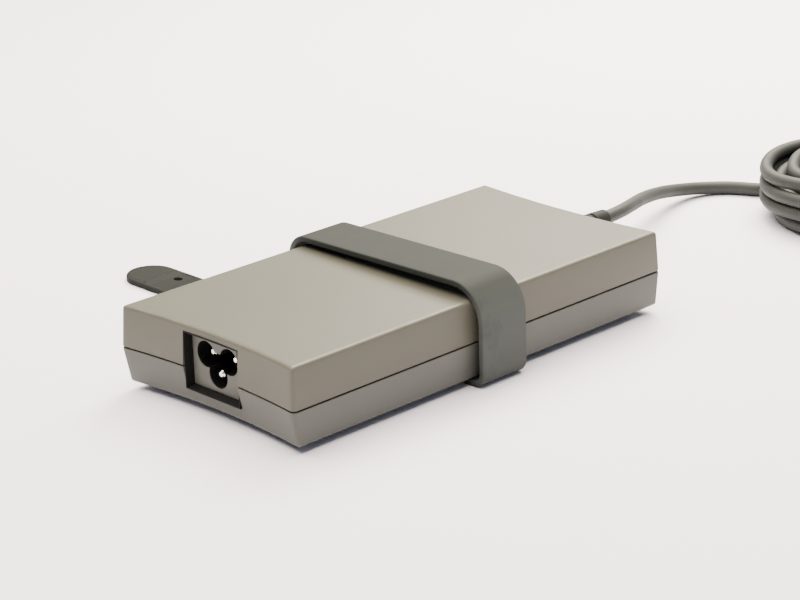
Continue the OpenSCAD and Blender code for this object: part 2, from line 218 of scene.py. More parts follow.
class Skin:
    """A mesh put together from grids of points."""

    def __init__(self):
        self.points, self.wear, self.faces, self.uvs, self.count = [], [], [], [], 0

    def _add(self, points, wear):
        self.points.append(points.reshape(-1, 3))
        self.wear.append(np.broadcast_to(wear, points.shape[:-1]).ravel())
        self.count += len(self.points[-1])

    def grid(self, points, ring=True, loop=False, closed=False, wear=0.0):
        """Quads between the neighbours of an (m, n, 3) array. ring joins each row's end to its
        start, loop joins the last row to the first, and closed fans both end rows to their
        middles. The UV map holds metres round a row and metres along the rows."""
        m, n = points.shape[:2]
        first = self.count
        i, j = np.meshgrid(np.arange(m - (not loop)), np.arange(n - (not ring)), indexing="ij")
        row = np.stack([i, i, i + 1, i + 1], -1).reshape(-1, 4)
        col = np.stack([j, j + 1, j + 1, j], -1).reshape(-1, 4)
        round_step = np.linalg.norm(np.diff(points, axis=1), axis=2).mean()
        middle = points.mean(1) if not ring else points[:, 0]
        along = np.append(lengths(middle), lengths(middle)[-1] + np.linalg.norm(middle[0] - middle[-1]))
        self._add(points, wear)
        self.faces.append((row % m) * n + col % n + first)
        self.uvs.append(np.stack([col * round_step, along[row]], -1))
        for end in (0, m - 1) if closed else ():
            tip = self.count
            self._add(points[end].mean(0)[None], np.broadcast_to(wear, (m, n))[end, 0])
            a = np.arange(n)
            edge = np.stack([(a + 1) % n, a] if end == 0 else [a, (a + 1) % n], 1) + first + end * n
            self.faces.append(np.hstack([edge, np.full((n, 1), tip)]))
            uv = np.stack([edge * round_step, np.full(edge.shape, along[end])], -1)
            self.uvs.append(np.concatenate([uv, uv[:, :1]], 1))
        return self

    def piece(self, name, sharp=SHARP):
        """The finished object, faces outwards: they are turned over if the volume is negative."""
        points = np.concatenate(self.points)
        volume = sum(
            np.einsum("ij,ij->", points[f[:, 0]], np.cross(points[f[:, k]], points[f[:, k + 1]]))
            for f in self.faces
            for k in range(1, f.shape[1] - 1)
        )
        flip = -1 if volume < 0 else 1
        corners = np.concatenate([f[:, ::flip].ravel() for f in self.faces])
        uvs = np.concatenate([uv[:, ::flip].reshape(-1, 2) for uv in self.uvs])
        sizes = np.concatenate([np.full(len(f), f.shape[1]) for f in self.faces])
        mesh = bpy.data.meshes.new(name)
        mesh.vertices.add(len(points))
        mesh.vertices.foreach_set("co", points.ravel())
        mesh.loops.add(len(corners))
        mesh.loops.foreach_set("vertex_index", corners)
        mesh.polygons.add(len(sizes))
        mesh.polygons.foreach_set("loop_start", np.cumsum(sizes) - sizes)
        mesh.update(calc_edges=True)
        mesh.uv_layers.new(name="UVMap").data.foreach_set("uv", uvs.ravel())
        worn_and_lit = mesh.attributes.new("wear", "FLOAT", "POINT")
        worn_and_lit.data.foreach_set("value", np.concatenate(self.wear).astype(float))
        piece = bpy.data.objects.new(name, mesh)
        bpy.context.scene.collection.objects.link(piece)
        shade(piece, sharp)
        return piece


def shade(piece, sharp=SHARP):
    """Smooth shading, with edges kept crisp where faces meet at more than sharp degrees."""
    mesh = piece.data
    mesh.polygons.foreach_set("use_smooth", np.ones(len(mesh.polygons), bool))
    mesh.set_sharp_from_angle(angle=math.radians(sharp))


def keep_result(piece, spare=()):
    """The piece's mesh as its modifiers leave it, and the spare objects gone."""
    bpy.context.view_layer.update()
    graph = bpy.context.evaluated_depsgraph_get()
    mesh = bpy.data.meshes.new_from_object(piece.evaluated_get(graph), depsgraph=graph)
    piece.modifiers.clear()
    piece.data = mesh
    for thing in spare:
        bpy.data.objects.remove(thing, do_unlink=True)
    shade(piece)


def carve(piece, cutters):
    """Cuts closed solids out of a piece."""
    for cutter in cutters:
        cut = piece.modifiers.new("cut", "BOOLEAN")
        cut.operation = "DIFFERENCE"
        cut.solver = "EXACT"
        cut.object = cutter
    keep_result(piece, cutters)


def block(name, low, high):
    """A box from its lowest to its highest corner, as four corner columns closed at both ends."""
    x, y, z = (np.array([low[k], high[k]]) for k in range(3))
    plan = np.stack([x[[0, 1, 1, 0]], y[[0, 0, 1, 1]]], 1)
    return Skin().grid(loft([(plan, level) for level in z]), closed=True).piece(name)


def bar(name, outline, x0, x1):
    """A prism along X of an outline in Y and Z."""
    rows = loft([(outline, x) for x in (x0, x1)])[:, :, [2, 0, 1]]
    return Skin().grid(rows, closed=True).piece(name)


def settle(piece, finish, slot, body="adapter", stands_for=()):
    """Gives a piece its finish and its body, and hides the CAD nodes that it stands for."""
    piece.data.materials.clear()
    piece.data.materials.append(finish.material)
    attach(piece, body)
    if stands_for:
        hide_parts(*stands_for)
    return piece


# ---------- finishes ----------


class Value:
    """A number in a material's node tree. Its operators add Math nodes."""

    def __init__(self, finish, socket):
        self.finish, self.socket = finish, socket

    def _math(self, operation, a, b):
        return self.finish.node("ShaderNodeMath", {"operation": operation}, {0: a, 1: b})

    def __add__(self, other):
        return self._math("ADD", self, other)

    def __sub__(self, other):
        return self._math("SUBTRACT", self, other)

    def __rsub__(self, other):
        return self._math("SUBTRACT", other, self)

    def __mul__(self, other):
        return self._math("MULTIPLY", self, other)

    __radd__ = __add__
    __rmul__ = __mul__


class Finish:
    """A procedural material that is built up from nodes."""

    def __init__(self, name):
        self.material = bpy.data.materials.new(name)
        self.material.use_nodes = True
        self.tree = self.material.node_tree
        self.shader = self.tree.nodes["Principled BSDF"]

    def node(self, kind, settings=None, inputs=None, out=0):
        """Adds a node: its settings come first, a ramp's stops among them, then the values or
        links of its sockets. Gives the output asked for."""
        node = self.tree.nodes.new(kind)
        for key, value in (settings or {}).items():
            if key == "stops":
                for element, (position, level) in zip(node.color_ramp.elements, value):
                    element.position, element.color = position, (level, level, level, 1)
            else:
                setattr(node, key, value)
        for key, value in (inputs or {}).items():
            if isinstance(value, Value):
                self.tree.links.new(value.socket, node.inputs[key])
            else:
                node.inputs[key].default_value = value
        return Value(self, node.outputs[out])

    def place(self, scale=(1, 1, 1), source="Object"):
        """Coordinates in metres, squeezed by scale; source is Object or UV."""
        return self.node("ShaderNodeMapping", {}, {
            "Vector": self.node("ShaderNodeTexCoord", {}, {}, source), "Scale": scale})

    def axis(self, place, which):
        """One axis of a place."""
        return self.node("ShaderNodeSeparateXYZ", {}, {"Vector": place}, which)

    def noise(self, place, size, detail=2.0, rough=0.5):
        """Cloudy noise whose patches are about size across."""
        return self.node("ShaderNodeTexNoise", {}, {
            "Vector": place, "Scale": 1 / size, "Detail": detail, "Roughness": rough})

    def sine(self, place, which, pitch):
        """Sine of the distance along an axis, with one wave each pitch."""
        turns = self.axis(place, which) * (2 * math.pi / pitch)
        return self.node("ShaderNodeMath", {"operation": "SINE"}, {0: turns})

    def above(self, value, low, high):
        """0 where a value is under low, 1 where it is over high, and a slope between."""
        return self.node("ShaderNodeValToRGB", {"stops": ((low, 0.0), (high, 1.0))}, {"Fac": value})

    def mix(self, share, a, b):
        """The colour a, and b by share."""
        return self.node("ShaderNodeMix", {"data_type": "RGBA"}, {0: share, 6: a, 7: b}, 2)

    def shades(self, colour, base, low, high, *layers):
        """A colour tinted from low to high by the base value, with layers of (share, tint) laid
        over it one after another."""
        tone = self.mix(base, tint(colour, low), tint(colour, high))
        for share, change in layers:
            tone = self.mix(share, tone, tint(colour, change))
        return tone

    def wear(self):
        """How worn the piece is here: 1 on the edges that rub, and painted light down the strap band's
        sides.
        """
        return self.node("ShaderNodeAttribute", {"attribute_name": "wear"}, {}, "Fac")

    def relief(self, height, depth, onto=None):
        """A bump of the given depth in metres, on top of another bump."""
        inputs = {"Height": height, "Distance": depth, "Strength": 1.0}
        return self.node("ShaderNodeBump", {}, inputs | ({"Normal": onto} if onto else {}))

    def show(self, **sockets):
        """Sets or links the shader's sockets; underscores stand for spaces."""
        for key, value in sockets.items():
            socket = self.shader.inputs[key.replace("_", " ")]
            if isinstance(value, Value):
                self.tree.links.new(value.socket, socket)
            else:
                socket.default_value = value
        return self


def tint(colour, share):
    """A colour made lighter by a share, or darker where the share is below 0, with its alpha."""
    return tuple(min(1.0, max(0.0, c * (1 + share))) for c in colour[:3]) + (1.0,)


def moulded(name, colour, rough=0.5, grain=0.45 * MM, depth=0.01 * MM, scuffs=0.2, shine=0.3):
    """Spark-textured moulded plastic: fine grain, faint clouding, hair scuffs along the piece,
    and edges that are rubbed paler and smoother."""
    f = Finish(name)
    here = f.place()
    cloud = f.noise(here, 38 * MM, 3)
    fine = f.noise(here, grain, 3, 0.65)
    scuff = f.above(f.noise(f.place((1, 26, 26)), 70 * MM, 5, 0.7), 0.61, 0.72)
    dust = f.above(f.noise(here, 1.3 * MM, 2, 0.6), 0.66, 0.8)
    rub = f.wear() * f.above(f.noise(here, 4 * MM, 3, 0.6), 0.3, 0.62)
    tone = f.shades(colour, cloud, -0.035, 0.035, (fine * 0.3, -0.16), (scuff * scuffs, 0.3),
                    (dust * 0.12, 0.35), (rub * 0.35, 0.4))
    scratched = f.relief(1 - scuff, 0.004 * MM, f.relief(fine, depth))
    return f.show(Base_Color=tone, Roughness=(cloud - 0.5) * 0.12 + rough - rub * 0.12 + scuff * 0.06,
                  Normal=scratched, Specular_IOR_Level=shine)


def rubber(name, colour, rough=0.66, bloom=0.22):
    """Soft moulded rubber: matt, with fine grain, a pale bloom in patches, lint specks, edges that
    have gone paler with handling, and painted light that makes the strap band's sides paler."""
    f = Finish(name)
    here = f.place()
    cloud = f.noise(here, 16 * MM, 4, 0.6)
    fine = f.noise(here, 0.3 * MM, 2, 0.6)
    lint = f.above(f.noise(here, 0.9 * MM, 1), 0.7, 0.8)
    drawn = f.noise(f.place((1, 9, 1)), 30 * MM, 4, 0.65)
    # the last layer pales worn edges, and the strap band's sides as painted light
    tone = f.shades(colour, cloud, -0.06, 0.05, (f.above(drawn, 0.5, 0.75) * bloom, 0.22),
                    (lint * 0.25, 0.6), (f.wear() * f.above(cloud, 0.1, 0.5), 1.1))
    bumpy = f.relief(cloud, 0.02 * MM, f.relief(fine, 0.012 * MM))
    return f.show(Base_Color=tone, Roughness=rough + (cloud - 0.5) * 0.14 - lint * 0.05, Normal=bumpy,
                  Specular_IOR_Level=0.05)


def jacket(name, colour):
    """Extruded lead jacket: satin, with fine draw lines along it, a slight waviness and dull
    handling marks. It reads the map of metres round and along the lead."""
    f = Finish(name)
    lines = f.noise(f.place((1, 0.02, 1), "UV"), 0.35 * MM, 2)
    wave = f.noise(f.place((0.3, 1, 1), "UV"), 9 * MM, 3)
    fine = f.noise(f.place(), 0.28 * MM, 2)
    mark = f.above(f.noise(f.place(), 7 * MM, 4, 0.65), 0.55, 0.72)
    tone = f.shades(colour, wave, -0.06, 0.05, (lines * 0.3, 0.12), (mark * 0.3, -0.14))
    bumpy = f.relief(fine, 0.006 * MM, f.relief(lines, 0.01 * MM, f.relief(wave, 0.05 * MM)))
    return f.show(Base_Color=tone, Roughness=0.56 + mark * 0.12 + (lines - 0.5) * 0.08, Normal=bumpy,
                  Specular_IOR_Level=0.2)


def plated(name, colour, rough=0.22):
    """Plated metal: bright, with fine turning lines, a cloudy tarnish and small dull specks."""
    f = Finish(name)
    here = f.place()
    lines = f.noise(f.place((14, 1, 1)), 2.2 * MM, 3, 0.7)
    tarnish = f.noise(here, 2.5 * MM, 4, 0.6)
    speck = f.above(f.noise(here, 0.5 * MM, 1), 0.68, 0.76)
    tone = f.shades(colour, f.above(tarnish, 0.45, 0.75) * 0.35, 0, -0.3, (speck * 0.4, -0.45))
    return f.show(Base_Color=tone, Metallic=1.0 - speck * 0.2,
                  Roughness=rough + (tarnish - 0.5) * 0.16 + speck * 0.2,
                  Normal=f.relief(lines, 0.004 * MM))


def woven(name, colour):
    """Hook-and-loop tape: threads over and under each other as the product of two sine waves in
    the map of metres round and along, under loose fuzz."""
    f = Finish(name)
    uv = f.place(source="UV")
    thread = 0.7 * MM
    weave = f.sine(uv, "X", thread) * f.sine(uv, "Y", thread) * 0.5 + 0.5
    fuzz = f.noise(f.place(), 0.25 * MM, 4, 0.75)
    tone = f.shades(colour, weave, -0.35, 0.2, (f.above(fuzz, 0.5, 0.75) * 0.5, 0.9))
    bumpy = f.relief(fuzz, 0.08 * MM, f.relief(weave, 0.15 * MM))
    return f.show(Base_Color=tone, Roughness=0.9 - weave * 0.1, Normal=bumpy, Sheen_Weight=0.25)


def component(name, colour, accent, size, rough, metal=0.0, stretch=(1, 1, 1), depth=0.03 * MM,
              amount=0.5):
    """A part of the electronics: its colour crossed by patches of an accent that are about size
    across and stretched as asked, with grain, soot in patches and a broken gloss."""
    f = Finish(name)
    here = f.place()
    pattern = f.noise(f.place(stretch), size, 3, 0.6)
    mask = f.above(pattern, 0.46, 0.56)
    fine = f.noise(here, 0.3 * MM, 3, 0.6)
    cloud = f.noise(here, 9 * MM, 3)
    tone = f.mix(mask * amount, colour, accent)
    tone = f.mix(f.above(cloud, 0.5, 0.7) * 0.25, tone, tint(colour, -0.35))
    bumpy = f.relief(fine, 0.01 * MM, f.relief(mask, depth))
    return f.show(Base_Color=tone, Metallic=metal, Roughness=rough + (cloud - 0.5) * 0.2, Normal=bumpy)


def wound(name, colour, gap, pitch, axis):
    """Wire or foil windings: even turns as a sine of the distance along an axis, darker between
    the turns, with uneven varnish."""
    f = Finish(name)
    here = f.place()
    groove = f.above(f.sine(here, axis, pitch) * 0.5 + 0.5, 0.1, 0.5)
    varnish = f.noise(here, 5 * MM, 3)
    tone = f.mix(groove, gap, colour)
    tone = f.mix(f.above(varnish, 0.5, 0.75) * 0.35, tone, tint(colour, -0.4))
    return f.show(Base_Color=tone, Roughness=0.34 + varnish * 0.2, Normal=f.relief(groove, 0.12 * MM),
                  Metallic=0.3)


def brushed(name, dark, pale, stain):
    """A bare plate: drawn out lines between two tones under a faint stain in patches."""
    f = Finish(name)
    here = f.place()
    lines = f.noise(f.place((0.04, 1, 1)), 0.5 * MM, 3)
    cloud = f.noise(here, 12 * MM, 3)
    tone = f.mix(f.above(cloud, 0.5, 0.75) * 0.2, f.mix(lines, dark, pale), stain)
    return f.show(Base_Color=tone, Roughness=0.42 + (cloud - 0.5) * 0.15,
                  Normal=f.relief(lines, 0.004 * MM))


# ---------- settings ----------


def a_number(name, description, default, low, high, **more):
    """A setting that is a number."""
    return bpy.props.FloatProperty(
        name=name, description=description, default=default, min=low, max=high, **more)


def a_length(name, description, default, low, high):
    """A setting that is a length in metres."""
    return a_number(name, description, default, low, high, unit="LENGTH", precision=5)


def an_angle(name, description, degrees):
    """A setting that is an angle, from degrees."""
    return a_number(name, description, math.radians(degrees), -math.pi, math.pi, subtype="ANGLE")


def a_point(name, description, default, unit="LENGTH"):
    """A setting that is a place, or a direction where its unit is NONE."""
    return bpy.props.FloatVectorProperty(
        name=name, description=description, default=default, subtype="XYZ", unit=unit, precision=5)


def a_colour(name, description, default, high=1):
    """A setting that is a colour."""
    return bpy.props.FloatVectorProperty(
        name=name, description=description, default=default, subtype="COLOR", min=0, max=high)


class CasingSettings(bpy.types.PropertyGroup):
    """Sizes and colours of the casing and its inlet."""

    edge: a_length("Edge radius", "Rounding of the covers' outer edges", 1.2 * MM, 0.3 * MM, 1.5 * MM)
    top_colour: a_colour("Top cover", "Colour of the top cover", (0.08, 0.0762, 0.057))
    bottom_colour: a_colour("Bottom cover", "Colour of the bottom cover", (0.081, 0.081, 0.07))
    inlet_colour: a_colour("Inlet face", "Colour of the plate round the socket", (0.081, 0.081, 0.07))


class StrapSettings(bpy.types.PropertyGroup):
    """Sizes and colours of the rubber strap."""

    drift: a_length("Drift", "How far the band slants along the casing from side to side",
                    0, -3 * MM, 3 * MM)
    edge: a_length("Edge radius", "Rounding of the rubber's edges", 0.45 * MM, 0.1 * MM, 0.9 * MM)
    colour: a_colour("Rubber", "Colour of the strap", (0.032, 0.0345, 0.032))


class LeadSettings(bpy.types.PropertyGroup):
    """Sizes and colours of the output lead, its tie and its plug."""

    sides: bpy.props.IntProperty(
        name="Sides", description="Faces round the lead", default=18, min=8, max=32)
    colour: a_colour("Jacket", "Colour of the lead", (0.036, 0.039, 0.0355))
    plug_colour: a_colour("Plug", "Colour of the plug's overmoulding", (0.035, 0.035, 0.035))
    tie_colour: a_colour("Tie", "Colour of the cable tie", (0.02, 0.02, 0.022))


class StageSettings(bpy.types.PropertyGroup):
    """The camera, the lights and the floor."""

    azimuth: an_angle("Azimuth", "Camera's direction round the adapter", -43.429)
    elevation: an_angle("Elevation", "Camera's angle above the floor", 20.337)
    roll: an_angle("Roll", "Camera's turn about its own axis", -1.841)
    distance: a_length("Distance", "Camera's distance from the point that it looks at", 0.76706, 0.2, 3)
    aim: a_point("Aim", "The point that the camera looks at", (0.003862, 0.003569, 0.014157))
    lens: a_number("Lens", "Focal length in millimetres on a 36 mm wide sensor", 112.46, 20, 300)
    floor_colour: a_colour("Floor", "Colour of the floor", (0.85, 0.815, 0.89))
    sky: a_number("Sky", "Strength of the light from all round", 0.35, 0, 5)
    sky_colour: a_colour("Sky colour", "Colour of the light from all round", (0.84, 0.97, 1.12), 2)
    key: a_number("Key light", "Strength of the broad light overhead, in watts a square metre",
                  11.8, 0, 50)
    key_colour: a_colour("Key colour", "Colour of the broad light overhead", (1.0, 0.92, 0.78))
    key_from: a_point("Key direction", "Where the broad light comes from", (0.0, 0.2, 1.0), "NONE")
    key_breadth: an_angle("Key breadth", "Angle that the broad light fills in the sky", 80)
    side: a_number("Side light", "Power of the light panel beside the lead, in watts", 10.5, 0, 100)
    side_size: a_length("Side size", "Width of the light panel", 0.35, 0.01, 2)
    side_from: a_point("Side place", "Where the light panel stands", (0.42, 0.2, 0.42))


# ---------- operators ----------


class ADAPTER_OT_stage(bpy.types.Operator):
    """Make the floor, the lights and the camera"""

    bl_idname = "adapter.stage"
    bl_label = "Stage"

    def execute(self, context):
        stage = context.scene.adapter_stage
        reach = 3.0
        floor = block("floor", (-reach, -reach, -0.02), (reach, reach, -0.00002))
        f = Finish("pale_floor")
        cloud = f.noise(f.place(), 0.4, 2)
        pale = tuple(stage.floor_colour) + (1.0,)
        f.show(Base_Color=f.mix(cloud, tint(pale, -0.01), tint(pale, 0.01)), Roughness=0.85,
               Normal=f.relief(f.noise(f.place(), 1.5 * MM, 2), 0.01 * MM), Specular_IOR_Level=0.2)
        floor.data.materials.append(f.material)

        world = bpy.data.worlds.new("studio")
        world.use_nodes = True
        glow = world.node_tree.nodes["Background"].inputs
        glow["Color"].default_value = tuple(stage.sky_colour) + (1.0,)
        glow["Strength"].default_value = stage.sky
        context.scene.world = world
        sun = bpy.data.lights.new("overhead", "SUN")
        sun.energy, sun.angle, sun.color = stage.key, stage.key_breadth, stage.key_colour
        panel = bpy.data.lights.new("side_panel", "AREA")
        panel.energy, panel.size, panel.color = stage.side, stage.side_size, stage.key_colour
        for lamp, place in ((sun, stage.key_from), (panel, stage.side_from)):
            light = bpy.data.objects.new(lamp.name, lamp)
            light.location = Vector(place)
            light.rotation_euler = Vector(place).to_track_quat("Z", "Y").to_euler()
            context.scene.collection.objects.link(light)

        lens = bpy.data.cameras.new("camera")
        lens.lens, lens.sensor_width = stage.lens, 36.0
        lens.clip_start, lens.clip_end = 0.01, 20.0
        camera = bpy.data.objects.new("camera", lens)
        level = math.cos(stage.elevation)
        back = Vector((math.sin(stage.azimuth) * level, -math.cos(stage.azimuth) * level,
                       math.sin(stage.elevation)))
        flat = (-back).cross(Vector(UP)).normalized()
        rise = flat.cross(-back)
        right = flat * math.cos(stage.roll) + rise * math.sin(stage.roll)
        rise = rise * math.cos(stage.roll) - flat * math.sin(stage.roll)
        turn = Matrix((right, rise, back)).transposed().to_4x4()
        camera.matrix_world = Matrix.Translation(Vector(stage.aim) + back * stage.distance) @ turn
        context.scene.collection.objects.link(camera)
        context.scene.camera = camera
        return {"FINISHED"}


class Casing:
    """The casing's shape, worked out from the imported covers."""

    corner, draft, toe = 1.5 * MM, 0.8 * MM, 1.2 * MM
    wall, lip_in, lip_h, gap = 2.2 * MM, 1.1 * MM, 1.6 * MM, 0.25 * MM
    inlet_bow, lead_bow = 2.4 * MM, 2.0 * MM

    def __init__(self, edge):
        self.edge = edge
        low, self.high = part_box("top_cover")
        self.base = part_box("bottom_cover")[0].z
        self.seam = low.z - self.gap
        self.floor = self.base + self.wall
        self.roof = self.high.z - self.wall

    def outline(self, inset, toe=0.0, arc_steps=8, bow_steps=40):
        """Plan outline set in by inset, and by toe more at the inlet end: corner arcs, straight
        sides, and ends bowed inwards by 1 - s * s over their half width."""
        r = max(self.corner - inset, 0.4 * MM)
        right, left = self.high.x - inset, -self.high.x + inset + toe
        flat = self.high.y - inset - r
        s = np.linspace(-1, 1, bow_steps + 1)[1:-1]
        lead_end = np.column_stack([right - self.lead_bow * (1 - s * s), s * flat])
        inlet_end = np.column_stack([left + self.inlet_bow * (1 - s * s), -s * flat])
        return np.vstack([
            arc((right - r, -flat), r, -90, 0, arc_steps), lead_end,
            arc((right - r, flat), r, 0, 90, arc_steps),
            arc((left + r, flat), r, 90, 180, arc_steps), inlet_end,
            arc((left + r, -flat), r, 180, 270, arc_steps)])

    def rounding(self, inset, z, size, out, steps=6):
        """Levels of a rounded edge from its wall at (inset, z) to its flat, out being the sign of
        the way to the flat. Worn most at its middle."""
        t = np.linspace(0, 1, steps + 1)
        a = t * math.pi / 2
        return [(inset + size * 1.1 * (1 - math.cos(b)), z + out * size * math.sin(b), self.toe_at(z), w)
                for b, w in zip(a, np.sin(t * math.pi))]

    def toe_at(self, z):
        """The inlet end leans in below the seam, evenly down to the underside's edge."""
        return self.toe * ramp(z, self.seam - self.gap, self.base + self.edge)

    def shell(self, levels):
        """Closed loft through levels of (inset, height, toe, wear), fanned at both ends."""
        rows = loft([(self.outline(inset, toe), z) for inset, z, toe, _ in levels])
        wear = np.array([level[3] for level in levels])[:, None]
        return Skin().grid(rows, closed=True, wear=wear)


class ADAPTER_OT_casing(bpy.types.Operator):
    """Make both covers, with their seam, inlet opening and lead hole"""

    bl_idname = "adapter.casing"
    bl_label = "Casing"

    def cutters(self):
        """Solids that open the inlet pocket and the lead's hole."""
        play, hole_r = 0.1 * MM, 4.3 * MM
        low, high = (np.array(corner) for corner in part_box("inlet_housing"))
        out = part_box("top_cover")[1].x
        pocket = block("pocket_cutter", (-out - MM, *(low[1:] - play)), high + play)
        hole = circle(centre_of("cable_gland").yz, hole_r, 48)
        return [pocket, bar("hole_cutter", hole, out - 12 * MM, out + 2 * MM)]

    def execute(self, context):
        settings = context.scene.adapter_casing
        c = Casing(settings.edge)
        wall, draft, lip, crisp, play = c.wall, c.draft, c.lip_in, 0.2 * MM, 0.1 * MM
        below, over, lip_top = c.seam - c.gap, c.seam + c.gap, c.seam + c.lip_h
        # each flat face starts with a ring of its own, a little inside its edge, to shade flat
        bottom = [(i, z, c.toe, w) for i, z, _, w in c.rounding(draft, c.base + c.edge, c.edge, -1)[::-1]]
        bottom.insert(0, (bottom[0][0] + MM, c.base, c.toe, 0))
        bottom += c.rounding(0, below - crisp, crisp, 1, 3)
        bottom += [(lip, below, 0, 0), (lip, lip_top, 0, 0), (wall, lip_top, 0, 0),
                   (wall + draft, c.floor, c.toe, 0)]
        top = [(wall + draft, c.roof, 0, 0), (wall + play, lip_top + play, 0, 0),
               (lip - play, lip_top + play, 0, 0), (lip - play, over, 0, 0)]
        top += c.rounding(0, over + crisp, crisp, -1, 3)[::-1]
        top += c.rounding(draft, c.high.z - c.edge, c.edge, 1)
        top.append((top[-1][0] + MM, c.high.z, 0, 0))
        for half, levels, colour in (("bottom", bottom, settings.bottom_colour),
                                     ("top", top, settings.top_colour)):
            piece = c.shell(levels).piece(half + "_shell")
            carve(piece, self.cutters())
            settle(piece, moulded(half + "_shell_plastic", tuple(colour)), "case_" + half,
                   stands_for=[half + "_cover"])
        return {"FINISHED"}


class ADAPTER_OT_inlet(bpy.types.Operator):
    """Make the plate round the cloverleaf socket, and finish the inlet's other parts"""

    bl_idname = "adapter.inlet"
    bl_label = "Inlet"

    lobe_r, waist_r, tail_r = 4.0 * MM, 3.8 * MM, 1.02 * MM

    def liner(self, face):
        """The open box that lines the pocket: rectangles from the inside of its back out to a thin
        rim at the front, and back along its outside. Its walls thicken evenly as far as the face."""
        wall, rim = 1.0 * MM, 0.25 * MM
        low, high = (np.array(corner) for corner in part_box("inlet_housing"))
        rows = []
        for inset, x in ((wall, high[0] - wall), (wall, face), (rim, low[0]), (0, low[0]), (0, high[0])):
            (y0, z0), (y1, z1) = low[1:] + inset, high[1:] - inset
            rows.append(np.array([(x, y0, z0), (x, y1, z0), (x, y1, z1), (x, y0, z1)]))
        box = Skin().grid(np.stack(rows), closed=True).piece("inlet_liner")
        carve(box, [bar("tail_cutter", circle(centre_of(pin).yz, self.tail_r, 24), high[0] - 3 * MM,
                        high[0] + MM) for pin in PINS])
        return box

    def clover(self, count=144):
        """Cloverleaf outline: at each angle, the furthest point of three lobes round the contacts
        and of a waist between them."""
        contacts = [centre_of(pin).yz for pin in PINS]
        waist = Vector((0, (contacts[0].y + contacts[2].y) / 2 + 0.3 * MM))
        a = np.arange(count) * 2 * np.pi / count
        ray = np.stack([np.cos(a), np.sin(a)], 1)
        reach = np.zeros(count)
        for centre, radius in [(c, self.lobe_r) for c in contacts] + [(waist, self.waist_r)]:
            off = np.array(centre - waist)
            along = ray @ off
            miss = off @ off - along**2
            hit = along + np.sqrt(np.clip(radius**2 - miss, 0, None))
            reach = np.where((miss < radius**2) & (hit > reach), hit, reach)
        return np.array(waist) + ray * reach[:, None]

    def execute(self, context):
        settings = context.scene.adapter_casing
        black = moulded("inlet_black_plastic", (0.006, 0.006, 0.006), 0.6, 0.6 * MM, 0.008 * MM, shine=0.1)
        low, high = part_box("inlet_face")
        settle(self.liner(low.x), black, "inlet_black", stands_for=["inlet_housing"])
        plate = block("inlet_plate", low, high)
        carve(plate, [bar("clover_cutter", self.clover(), low.x - MM, high.x + MM)])
        soften = plate.modifiers.new("soften", "BEVEL")
        soften.width, soften.segments, soften.limit_method = 0.16 * MM, 3, "ANGLE"
        soften.angle_limit = math.radians(50)
        keep_result(plate)
        settle(plate, moulded("inlet_plate_plastic", tuple(settings.inlet_colour), scuffs=0.1),
               "inlet_grey", stands_for=["inlet_face"])
        # painted shade: faces more than 0.3 mm behind the plate's front, the clover opening's walls, take
        # the black finish so the opening reads dark
        plate.data.materials.append(black.material)
        depth = np.zeros(3 * len(plate.data.polygons))
        plate.data.polygons.foreach_get("center", depth)
        plate.data.polygons.foreach_set("material_index", (depth[::3] > low.x + 0.3 * MM).astype(np.int32))
        bright = plated("contact_plating", (0.86, 0.84, 0.78), 0.18)
        dress(black, "inlet_core")
        dress(bright, *PINS)
        return {"FINISHED"}


def dress(finish, *nodes):
    """Gives CAD nodes a finish in place of their plain one."""
    for node in nodes:
        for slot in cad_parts[node].material_slots:
            slot.material = finish.material


# the electronics' finishes: name, colour, accent, size of its patches in millimetres, roughness,
# other settings, and the CAD nodes that wear it
COMPONENTS = (
    ("solder_mask", (0.02, 0.12, 0.05), (0.04, 0.22, 0.09), 5, 0.35,
     {"stretch": (1, 5, 1), "amount": 0.8}, ("circuit_board",)),
    ("insulating_film", (0.72, 0.68, 0.52), (0.8, 0.77, 0.62), 8, 0.4, {}, ("insulating_sheet",)),
    ("aluminium_sheet", (0.62, 0.63, 0.65), (0.5, 0.51, 0.53), 3, 0.4,
     {"metal": 1.0, "stretch": (0.08, 1, 1), "depth": 0.005 * MM},
     ("heat_spreader", "primary_heatsink", "secondary_heatsink")),
    ("ferrite", (0.04, 0.04, 0.045), (0.075, 0.07, 0.07), 0.7, 0.75, {},
     ("filter_choke_core", "pfc_choke_core", "transformer_core")),
    ("capacitor_sleeve", (0.02, 0.025, 0.06), (0.035, 0.045, 0.12), 12, 0.3,
     {"stretch": (0.3, 1, 1)}, ("bulk_capacitor", "output_capacitors")),
    ("film_capacitor_box", (0.7, 0.45, 0.06), (0.6, 0.36, 0.04), 4, 0.45, {}, ("x_capacitor",)),
    ("disc_coating", (0.04, 0.14, 0.42), (0.06, 0.2, 0.5), 2, 0.35, {},
     ("surge_varistor", "y_capacitors")),
    ("chip_mould", (0.018, 0.018, 0.02), (0.03, 0.03, 0.032), 0.5, 0.55, {},
     ("bridge_rectifier", "switch_transistors", "output_rectifiers", "control_chips")),
    ("pale_mould", (0.72, 0.71, 0.66), (0.65, 0.63, 0.57), 1, 0.5, {}, ("fuse", "optocoupler")),
    ("gap_pad", (0.25, 0.33, 0.5), (0.3, 0.38, 0.55), 1.5, 0.8, {}, ("thermal_pads",)),
    ("wire_sleeve", (0.02, 0.02, 0.02), (0.045, 0.045, 0.045), 2, 0.4, {}, ("output_wires",)))


